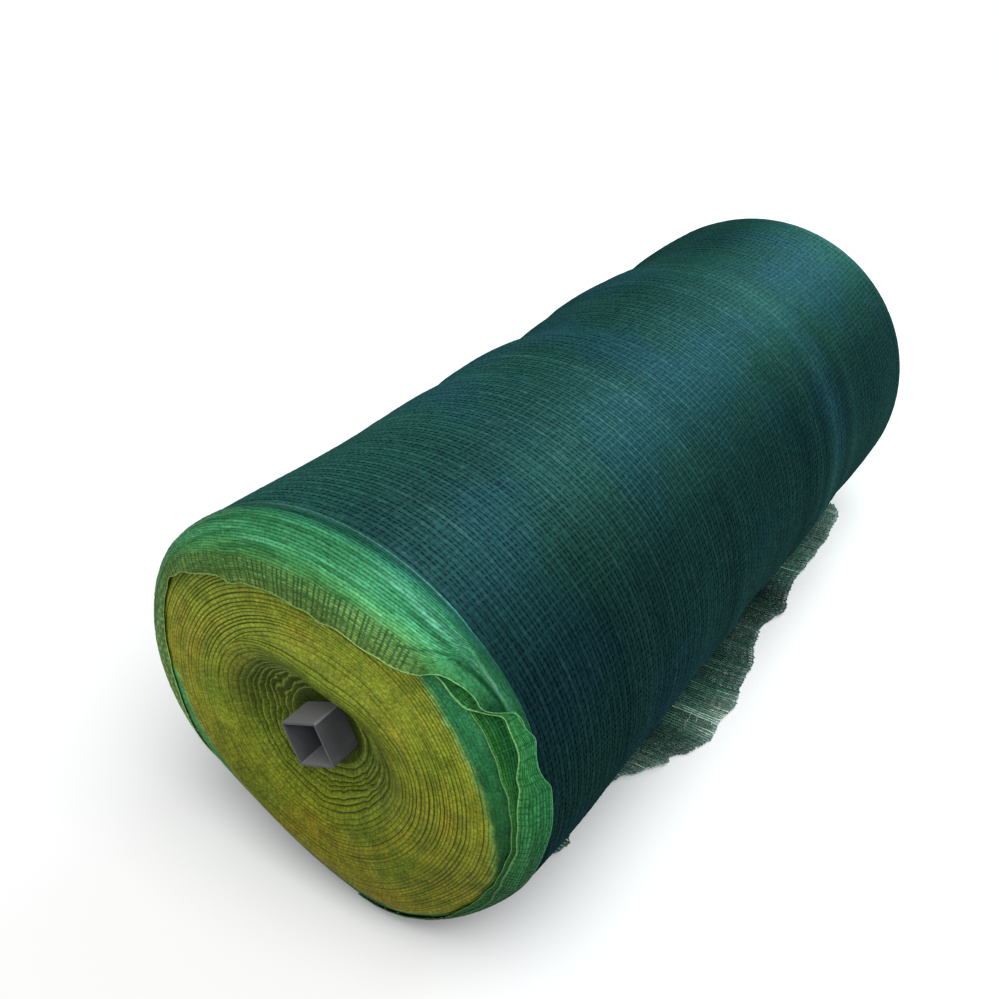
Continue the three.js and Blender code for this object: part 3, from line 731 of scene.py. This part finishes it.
def yarn_tubes(middle, side, up, half_width, half_height):
    """Closed four-sided yarns along rows of points."""
    side = side / np.linalg.norm(side, axis=-1, keepdims=True)
    up = up - side * np.sum(side * up, axis=-1, keepdims=True)
    up = up / np.linalg.norm(up, axis=-1, keepdims=True)
    width, height = (np.broadcast_to(h, middle.shape[:2])[..., None] for h in (half_width, half_height))
    points = np.stack(
        [middle + side * width, middle + up * height, middle - side * width, middle - up * height], axis=2
    )
    yarns, steps = points.shape[:2]
    index = np.arange(yarns * steps * 4).reshape(yarns, steps, 4)
    here, ahead = index[:, :-1], index[:, 1:]
    walls = np.stack([here, ahead, np.roll(ahead, -1, 2), np.roll(here, -1, 2)], -1).reshape(-1, 4)
    caps = np.concatenate([index[:, 0], index[:, -1, ::-1]])
    u = np.arange(steps - 1)[None, :, None] / steps
    v = (np.arange(yarns)[:, None, None] + 0.1 + 0.2 * np.arange(4)) / yarns
    du, dv = 1 / steps, 0.2 / yarns
    cap_chart = map_boxes(np.repeat([0, 1 - du], yarns), np.tile(v[:, 0, 0], 2), du / 9, dv)
    return points, np.concatenate([walls, caps]), np.concatenate([map_boxes(u, v, du, dv), cap_chart])


def joined(*nets):
    """Several sets of yarns as one mesh."""
    points, faces, chart, start = [], [], [], 0
    for n, (net_points, net_faces, net_chart) in enumerate(nets):
        points.append(net_points.reshape(-1, 3))
        faces.append(net_faces + start)
        chart.append(net_chart * np.tile([1.0, 0.95 / len(nets)], 4) + np.tile([0.0, n / len(nets)], 4))
        start += points[-1].shape[0]
    return np.concatenate(points), np.concatenate(faces), np.concatenate(chart)


def sheet_area(grid):
    """The area in square metres of a grid of points in mm."""
    area = np.cross(grid[1:, :-1] - grid[:-1, :-1], grid[:-1, 1:] - grid[:-1, :-1])
    return np.linalg.norm(area, axis=-1).sum() * MM**2


def strip_net(span, width, point, back, crest, weft_from, pale, lean, cords, yarns, pitch, rng):
    """A loose selvedge as yarns: close chains along it, wefts that show on it, and edge cords. The functions
    give a place's point, its distance from the body, where the lip turns over, where the wefts begin to show,
    how pale it is or, below 0, how much painted shade it has, and how far the wefts lean."""
    first, last = span
    count = int(math.radians(last - first) * STRIP_RADIUS / WEFT_PITCH)
    chains = max(3, int(width / pitch))
    degrees = np.linspace(first, last, 2 * count + 1)[None, :]
    sets, values = [], {name: [] for name in STRIP_VALUES}

    def frame_at(deg, acr, lift):
        deg, acr = np.broadcast_arrays(deg, acr)
        deg = deg + lean(deg, acr)
        run = point(deg + TURN_STEP, acr, 0.0) - point(deg - TURN_STEP, acr, 0.0)
        before, after = np.maximum(acr - ACROSS_STEP, 0), np.minimum(acr + ACROSS_STEP, 1)
        over = point(deg, after, 0.0) - point(deg, before, 0.0)
        return point(deg, acr, lift), run, over, np.cross(over, run)

    def add(net, deg, acr, kind, tones):
        deg, acr, tones = np.broadcast_arrays(deg, acr, tones)
        deg = deg + lean(deg, acr)
        sets.append(net)
        from_body = back(deg, acr)
        zone = from_body / crest(deg) / ZONE_CREST
        found = (from_body, zone, deg * RUN_STEP, kind + 0 * deg, tones, pale(deg, acr))
        for key, value in zip(STRIP_VALUES, found):
            values[key].append(np.repeat(value.ravel(), 4))

    across = (np.arange(chains)[:, None] + 0.5) / chains
    middle, _, over, up = frame_at(degrees, across, rng.normal(0, 0.12, (chains, 2 * count + 1)))
    gap = np.linalg.norm(over, axis=-1) / (2 * ACROSS_STEP) / chains
    chain_tones = rng.uniform(0, 1, (chains, 1))
    add(yarn_tubes(middle, over, up, gap * yarns[0], 0.22), degrees, across, 0.0, chain_tones)

    weft_degrees = degrees[:, ::2].T + rng.normal(0, 0.25, (count + 1, 1))
    weft_degrees = np.clip(weft_degrees, first + 0.4, last - 0.4)
    weft_start = weft_from(weft_degrees)
    weft_across = weft_start + (0.985 - weft_start) * np.linspace(0, 1, chains + 2)[None, :]
    weft_degrees = weft_degrees + 0.07 * np.where(np.arange(chains + 2) % 2, 1, -1)[None, :]
    middle, run, _, up = frame_at(weft_degrees, weft_across, 0.25)
    weft_tones = rng.uniform(0, 1, (count + 1, 1))
    add(yarn_tubes(middle, run, up, yarns[1], 0.25), weft_degrees, weft_across, 0.5, weft_tones)

    for edge, radius in zip((1.0, 0.0), cords):
        middle, _, over, up = frame_at(degrees, np.full((1, 1), edge), 0.1)
        cord = yarn_tubes(middle, over, up, radius, radius * 0.8)
        add(cord, degrees, np.full((1, 1), edge), 1.0, edge * (0.6 + 0.4 * eased((degrees - 44) / 10)))

    fine = point(np.linspace(first, last, 400)[:, None], np.linspace(0, 1, 24)[None, :], 0.0)
    length = np.linalg.norm(np.diff(fine[:, 12], axis=0), axis=-1).sum() * MM
    values = {key: np.concatenate(value) for key, value in values.items()}
    return joined(*sets), values, sheet_area(fine), length


def lay_selvedge(name, node, net, finish):
    """Makes a loose selvedge of its yarns and hides the solid that it stands for."""
    mesh, values, area, length = net
    piece = make_piece(name, *mesh, finish, **values)
    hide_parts(node)


def selvedge_finish(name, chains, wefts, hems, low=None, light_by_degrees=None, pale_shade=(116, 192, 132)):
    """Finish of a loose selvedge: streaky chains and wefts coloured across it, lighter edge cords, and
    painted shade where its pale value is below 0. It may have painted light and shade by degrees round the
    roll, and painted shade low down."""
    finish = new_finish(name)
    place = object_place(finish)
    back, zone, run, kind, tone, pale = (value_of(finish, value) for value in STRIP_VALUES)
    along = put(finish, "CombineXYZ", {
        "X": sums(finish, "MULTIPLY", run, 0.008), "Y": sums(finish, "MULTIPLY", back, 0.24),
        "Z": sums(finish, "MULTIPLY", tone, 0.4),
    })
    streak = noise(finish, along.outputs["Vector"], 1.3, 3.0)
    streaks = [(0.34, (0.46, 0.58, 0.54)), (0.5, (0.9, 0.93, 0.91)), (0.68, (1.42, 1.3, 1.42))]
    chain = mixed(finish, pale, tint(finish, zone, *chains), shade(*pale_shade))
    # Below 0 the pale value paints shade.
    chain = mixed(finish, sums(finish, "MULTIPLY", pale, -1.0), chain, shade(30, 94, 58))
    chain = times(finish, chain, ramp(finish, streak, streaks))
    weft = times(finish, tint(finish, zone, *wefts), ramp(finish, tone, [(0.0, 0.82), (1.0, 1.18)]))
    hem = mixed(finish, pale, tint(finish, tone, *hems), shade(*pale_shade))
    colour = mixed(finish, ramp(finish, kind, [(0.2, 0), (0.3, 1)]), chain, weft)
    colour = mixed(finish, ramp(finish, kind, [(0.7, 0), (0.8, 1)]), colour, hem)
    specks = ramp(finish, noise(finish, place, 420.0), [(0.3, 0.55), (0.7, 1.12)])
    colour = times(finish, colour, specks, 0.7)
    # Painted light and shade by degrees round the roll.
    if light_by_degrees:
        stops = [(degrees * RUN_STEP / RUN_ALL, share) for degrees, share in light_by_degrees]
        colour = times(finish, colour, ramp(finish, sums(finish, "DIVIDE", run, RUN_ALL), stops))
    # Painted shade: darker low down.
    if low:
        colour = times(finish, colour, ramp(finish, parts(finish, place)["Z"], low))
    coat(finish, Base_Color=colour, Roughness=0.6, Specular_IOR_Level=0.08, Specular_Tint=(0.6, 1.0, 0.75, 1))
    return finish


def plain_sway(degrees):
    return 0.5 * np.sin(np.radians(degrees) * 23 + 0.5) + 0.4 * np.sin(np.radians(degrees) * 41 + 2)


def lip_sway(degrees):
    wave = 1.2 * np.sin(np.radians(degrees) * 13 + 1) + 0.8 * np.sin(np.radians(degrees) * 29)
    return (wave + plain_sway(degrees)) * eased((degrees - 50) / 20) * eased((200 - degrees) / 40)


def lip_crest(degrees):
    return np.interp(degrees, *np.array(LIP_CREST, float).T)


def lip_weft_from(degrees):
    start, hem = from_rows(LIP_ROWS, degrees, 1), from_rows(LIP_ROWS, degrees, 2)
    return np.clip((lip_crest(degrees) - start) / (hem - start) + eased((degrees - 144) / 10), 0.3, 0.97)


def lip_pale_and_shade(degrees, across):
    """How much paler than its zone the lip is, or darker below 0 as painted shade: painted glints of light on
    the loose collar on the left, darker between them, a light bundle of chains along the border on the right,
    and painted shade along that border, in the two folds beside it and at the tip of the fold."""
    back = strip_place(LIP_ROWS, degrees, across, lip_sway)
    bundle, fold, crook = (from_rows(LIP_LINES, degrees, column) for column in (1, 2, 3))
    right, upper = eased((80 - degrees) / 22), eased((degrees - 54) / 16)
    pale = (0.5 + 0.3 * eased((46 - degrees) / 8)) * right * hump(back - bundle, 2.6)
    # Painted shade along the border on the right, and in the folds.
    pale = pale - 0.45 * right * hump(back - 16, 5)
    pale = pale - 0.9 * eased((41 - degrees) / 8) * eased((back - fold) / 3)
    pale = pale - (0.8 - 0.4 * upper) * right * hump(back - fold, 1.3 + 3 * upper)
    pale = pale - 0.8 * eased((58 - degrees) / 3) * hump(back - crook, 1.2)
    # Painted glints of light on the loose collar, darker between them.
    glint = np.sin(degrees * 1.9 + back * 0.6) * np.sin(degrees * 0.7 - back * 0.3)
    glint = 1.1 * eased((glint - 0.1) / 0.6) - 0.35
    return pale + glint * eased((degrees - 146) / 14)


def lip_lean(degrees, across):
    """How far to the left, in degrees, the lip's wefts lean above its hem."""
    return 5.5 * eased((92 - degrees) / 40) * (1 - across)


def nowhere(degrees, across):
    return 0 * degrees * across


def near_selvedge(
    name, node, rows, finish, seed, cords, yarns,
    sway=plain_sway, crest=None, weft_from=None, pale=nowhere, lean=nowhere,
):
    """A loose selvedge from its rows. Without a crest its zone is 1 at the hem, and without a start for
    the wefts they show all over it."""
    net = strip_net(
        (rows[0][0], rows[-1][0]), max(row[2] - row[1] for row in rows),
        lambda degrees, across, lift: strip_point(rows, degrees, across, lift, sway),
        lambda degrees, across: strip_place(rows, degrees, across, sway),
        crest or (lambda degrees: from_rows(rows, degrees, 2) / ZONE_CREST),
        weft_from or (lambda degrees: 0.04 + 0 * degrees),
        pale, lean, cords, yarns, STRIP_PITCH, np.random.default_rng(seed),
    )
    lay_selvedge(name, node, net, finish)


lip_green = selvedge_finish(
    "lip_green",
    [
        (0.1, 76, 132, 116), (0.125, 66, 124, 108), (0.15, 28, 86, 70), (0.18, 28, 92, 72),
        (0.21, 50, 126, 94), (0.27, 66, 149, 98), (0.45, 79, 167, 108), (0.58, 88, 164, 92),
        (0.66, 104, 150, 76), (0.85, 112, 146, 68), (1.0, 118, 142, 56),
    ],
    [(0.2, 20, 92, 70), (0.3, 44, 120, 76), (0.6, 60, 110, 59), (1.0, 72, 102, 48)],
    [(0.2, 30, 96, 84), (0.6, 116, 194, 118), (1.0, 138, 178, 96)],
    # Painted light and shade by degrees round the roll: darker at the tip on the right and over the top and
    # left, lighter and bluer where the lip faces the light.
    light_by_degrees=[
        (30, 0.6), (38, 0.66), (43, 0.78), (48, (0.96, 0.96, 1.06)), (55, (1.14, 1.14, 1.34)),
        (66, (1.14, 1.14, 1.32)), (80, (0.83, 0.83, 0.86)), (120, (0.73, 0.73, 0.7)), (148, 0.72),
        (160, 0.72), (172, 0.95), (200, 1.0),
    ],
    pale_shade=(116, 186, 154),
)
flap_green = selvedge_finish(
    "flap_green",
    [(0.0, 54, 134, 80), (0.5, 46, 124, 70), (1.0, 60, 136, 73)],
    [(0.0, 40, 108, 64), (1.0, 38, 104, 58)],
    [(0.2, 78, 150, 104), (0.6, 118, 172, 106)],
    # Painted shade: darker low down.
    low=[(0.04, 0.26), (0.1, 0.35), (0.18, 0.63), (0.24, 0.87), (0.3, 0.97)],
)
ply_green = selvedge_finish(
    "ply_green",
    # Painted shade: the ply is darker where it lies by the flap.
    [(0.5, 26, 90, 48), (0.75, 38, 110, 55), (1.0, 60, 133, 61)],
    [(0.5, 28, 92, 50), (1.0, 46, 118, 57)],
    [(0.2, 28, 92, 62), (0.6, 122, 180, 104)],
    # Painted shade: darker low down.
    low=[(0.04, 0.36), (0.1, 0.42), (0.18, 0.54), (0.3, 0.75)],
)
near_selvedge(
    "lip", "selvedge_lip", LIP_ROWS, lip_green, 3, (0.6, 0.3), (0.6, 0.85),
    lip_sway, lip_crest, lip_weft_from, lip_pale_and_shade, lip_lean,
)
near_selvedge("flap", "selvedge_flap", FLAP_ROWS, flap_green, 5, (0.8, 0.5), (0.55, 0.55))
near_selvedge("ply", "selvedge_ply", PLY_ROWS, ply_green, 9, (0.45, 0.3), (0.55, 0.45))


# Far selvedge: at the far end the last turn's green edge rolls over the shoulder all the way round
# and lies against the face, with the same close chains and hem.
FAR_START, FAR_CREST, FAR_HEM = 45, 58, 76
FAR_WIDTH, FAR_PITCH = 40, 2.9


def far_back(degrees, across):
    angle = np.radians(degrees)
    hem = FAR_HEM + 9 * np.sin(angle - 0.6) + 3 * np.sin(5 * angle) + 1.5 * np.sin(17 * angle)
    return FAR_START + (hem - FAR_START) * across


def far_point(degrees, across, lift):
    angle = np.radians(degrees)
    rise = 2.5 * np.sin(math.pi * np.clip(across, 0, 1)) * (0.6 + 0.4 * np.sin(angle))
    rise = 2.2 + rise + 0.8 * np.sin(9 * angle) * across**2
    return end_point(END_LENGTH - far_back(degrees, across), angle, 1, rise + lift)


far_net = strip_net(
    (0, 360), FAR_WIDTH, far_point, far_back, lambda degrees: FAR_CREST + 0 * degrees,
    lambda degrees: (FAR_CREST - FAR_START) / (far_back(degrees, 1.0) - FAR_START),
    nowhere, nowhere, (0.7, 0.3), (0.54, 0.75), FAR_PITCH, np.random.default_rng(23),
)
far_green = selvedge_finish(
    "far_green",
    [(0.2, 28, 112, 82), (0.35, 70, 152, 96), (0.58, 84, 158, 88), (0.8, 108, 148, 70)],
    [(0.4, 44, 108, 62), (1.0, 58, 90, 34)],
    [(0.2, 70, 140, 118), (0.6, 168, 172, 84)],
    # Painted shade: darker low down.
    low=[(0.04, 0.6), (0.3, 0.95)],
)
lay_selvedge("far_lip", "net_roll", far_net, far_green)


# Loose end: the net's cut end, two plies that lie out on the floor from under the roll. Their chains
# run outwards, and the cut edge is wavy and a little ragged.
TAIL_ROWS = [
    (-345, 112), (-310, 146), (-285, 132), (-250, 134), (-209, 142), (-196, 148), (-186, 157), (-174, 165),
    (-157, 178), (-143, 175), (-130, 189), (-116, 193), (-95, 201), (-62, 198), (-36, 202), (-9, 197),
    (20, 192), (50, 190), (75, 180), (100, 175), (127, 171), (150, 178), (172, 184), (191, 178),
    (235, 170), (300, 172), (345, 171), (403, 168), (437, 163), (465, 148),
]
TAIL_FROM, TAIL_TO = TAIL_ROWS[0][0], TAIL_ROWS[-1][0]
TAIL_ANGLE, TAIL_HEIGHT = math.radians(-72), 2.3  # where it leaves the roll
TAIL_RIPPLES = [(46, 2.4, 8), (118, 3.2, 30)]
TAIL_TONES = [
    (-345, 0.05), (-160, 0.0), (-120, -0.2), (-80, 0.14), (-40, 0.02), (0, -0.1), (50, -0.17), (120, -0.2),
    (160, -0.34), (200, -0.42), (232, 0.0), (300, 0.07), (360, 0.02), (400, 0.16), (465, 0.2),
]
OUT_STEPS, ALONG_STEPS = 18, 220
tail_rng = np.random.default_rng(77)
tail_notches = tail_rng.normal(0, 1.0, 400)


def tail_point(along, across, lift):
    along, across = np.broadcast_arrays(along, across)
    radius = ROLL_RADIUS + body_swell(along, TAIL_ANGLE)
    root = np.sqrt(radius**2 - (AXIS_HEIGHT - TAIL_HEIGHT) ** 2)
    edge = from_rows(TAIL_ROWS, along, 1)
    edge = edge + np.interp(along, np.linspace(TAIL_FROM, TAIL_TO, tail_notches.size), tail_notches)
    ripple = sum(h / 2 * (1 + np.sin(2 * math.pi * (along - s) / w)) for w, h, s in TAIL_RIPPLES)
    height = ripple * eased(across) + 0.9 + lift + 0.5 * np.sin(along / 3.1 + 9 * across) * across
    return np.stack([root + (edge - root) * across, along, np.maximum(height, 0.5)], axis=-1)


def tail_net(first, chain_gap, weft_rows, half, lift):
    """One ply of the loose end, as chains that run outwards and wefts along it."""
    out = np.linspace(0.0, 1.0, OUT_STEPS)[None, :]
    along = np.arange(TAIL_FROM + 2 + first, TAIL_TO - 1, chain_gap)[:, None]
    jitter = tail_rng.normal(0, 0.3, (along.size, OUT_STEPS)) * out
    along = along + 1.6 * np.sin(out * 7 + along / 40) * out + jitter
    along = np.clip(along, TAIL_FROM + 0.5, TAIL_TO - 0.5)
    reach = np.where(out > 0.97, tail_rng.uniform(0.985, 0.999, (along.shape[0], 1)), out)
    half = half * (0.85 + 0.15 * eased(out / 0.4) + 0.42 * hump(out - 0.58, 0.15))
    weft_along = np.linspace(TAIL_FROM + 1, TAIL_TO - 1, ALONG_STEPS)[None, :]
    weft_out = (np.arange(weft_rows)[:, None] + 0.6) / (weft_rows - 0.4)
    weft_out = np.minimum(weft_out + tail_rng.normal(0, 0.004, (weft_rows, ALONG_STEPS)), 0.985)
    sets = []
    for middle, side, width, height in (
        (tail_point(along, reach, lift), (0.0, 1.0, 0.0), half, 0.36),
        (tail_point(weft_along, weft_out, lift - 0.25), (1.0, 0.0, 0.0), 0.6, 0.25),
    ):
        side, up = (np.array(way) + 0 * middle for way in (side, (0.0, 0.0, 1.0)))
        sets.append(yarn_tubes(middle, side, up, width, height))
    return sets


def tail_tones(yarns, mean):
    """How pale a ply's yarns are: darkest under the roll as painted shade, palest at the cut edge, and uneven
    along it.
    """
    x, along, _ = np.moveaxis(yarns[0].mean(axis=2), -1, 0)
    # Painted shade: the yarns are darker near the roll.
    tone = 0.4 * eased((x - 95) / 75) + 0.14 * eased((x - 168) / 22) - 0.33
    tone = tone + from_rows(TAIL_TONES, along, 1)
    tone = tone + tail_rng.normal(mean, 0.1, (x.shape[0], 1)) + tail_rng.normal(0, 0.06, x.shape)
    return np.repeat(np.clip(tone, 0, 1), 4, axis=-1).ravel()


def sheer_green():
    """Pale grey-green by the yarn's own tone, in patches, with fibres."""
    finish = new_finish("net_sheer")
    place = object_place(finish)
    green = tint(
        finish, value_of(finish, "tone"),
        (0.0, 25, 48, 43), (0.45, 49, 80, 71), (0.8, 86, 122, 108), (1.0, 168, 196, 182),
    )
    patch = noise(finish, place, 14.0, 3.0)
    patches = ramp(finish, patch, [(0.38, (0.5, 0.86, 0.74)), (0.62, (1.12, 1.08, 1.05))])
    specks = ramp(finish, noise(finish, place, 300.0), [(0.32, 0.4), (0.68, 1.5)])
    green = times(finish, times(finish, green, patches, 0.8), specks, 0.55)
    coat(finish, Base_Color=green, Roughness=0.5, Specular_IOR_Level=0.2)
    return finish


tail_sets = [*tail_net(0.0, 3.9, 17, 0.95, 0.9), *tail_net(1.5, 3.905, 15, 1.1, 0.0)]
# Painted shade: the lower ply has a darker mean tone than the upper one.
tail_tone = [tail_tones(yarns, mean) for yarns, mean in zip(tail_sets, (0.6, 0.58, 0.44, 0.48))]
loose_end = make_piece("loose_end_net", *joined(*tail_sets), sheer_green(), tone=np.concatenate(tail_tone))
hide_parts("loose_end")


# Stage: a plain pale floor under soft studio light, seen from the front, above and to the right. It
# is no part of the object.
FLOOR_HALF, FLOOR_HEIGHT = 40.0, -0.0004
floor_mesh = bpy.data.meshes.new("floor")
floor_corners = [
    (x * FLOOR_HALF, y * FLOOR_HALF, FLOOR_HEIGHT) for x, y in ((-1, -1), (1, -1), (1, 1), (-1, 1))
]
floor_mesh.from_pydata(floor_corners, [], [(0, 1, 2, 3)])
floor = bpy.data.objects.new("floor", floor_mesh)
bpy.context.scene.collection.objects.link(floor)
floor_finish = new_finish("pale_floor")
coat(floor_finish, Base_Color=(0.82, 0.82, 0.82, 1), Roughness=0.9, Specular_IOR_Level=0.0)
floor_mesh.materials.append(floor_finish)

room = bpy.data.worlds.new("room")
room.use_nodes = True
room.node_tree.nodes["Background"].inputs["Color"].default_value = (1.0, 1.0, 1.0, 1)
room.node_tree.nodes["Background"].inputs["Strength"].default_value = 0.3
bpy.context.scene.world = room
bpy.context.scene.view_settings.view_transform = "Standard"


def turned_to(lamp, way):
    """Turns a lamp to shine along a direction."""
    spin = math.atan2(way[1], way[0]) - math.pi / 2
    lamp.rotation_euler = (math.atan2(math.hypot(way[0], way[1]), -way[2]), 0.0, spin)


sky = bpy.data.objects.new("sky", bpy.data.lights.new("sky", "SUN"))
sky.data.energy = 3.3
sky.data.angle = math.radians(60)
turned_to(sky, (-0.38, 0.3, -0.875))
back = bpy.data.objects.new("back", bpy.data.lights.new("back", "AREA"))
back.data.shape = "RECTANGLE"
back.data.size, back.data.size_y = 2.0, 0.7
back.data.energy = 40.0
back.data.color = (0.8, 0.95, 1.0)
back.location = (0.9, 2.6, 1.9)
turned_to(back, (-0.85, -2.5, -1.55))
for lamp in (sky, back):
    bpy.context.scene.collection.objects.link(lamp)

camera_lens = bpy.data.cameras.new("camera")
camera_lens.sensor_width = 36.0
camera_lens.lens = 39.10
camera = bpy.data.objects.new("camera", camera_lens)
camera.location = (0.49185, -0.95669, 0.82865)
camera.rotation_euler = (math.radians(90 - 30.758), 0.0, math.radians(33.397))
bpy.context.scene.collection.objects.link(camera)
bpy.context.scene.camera = camera
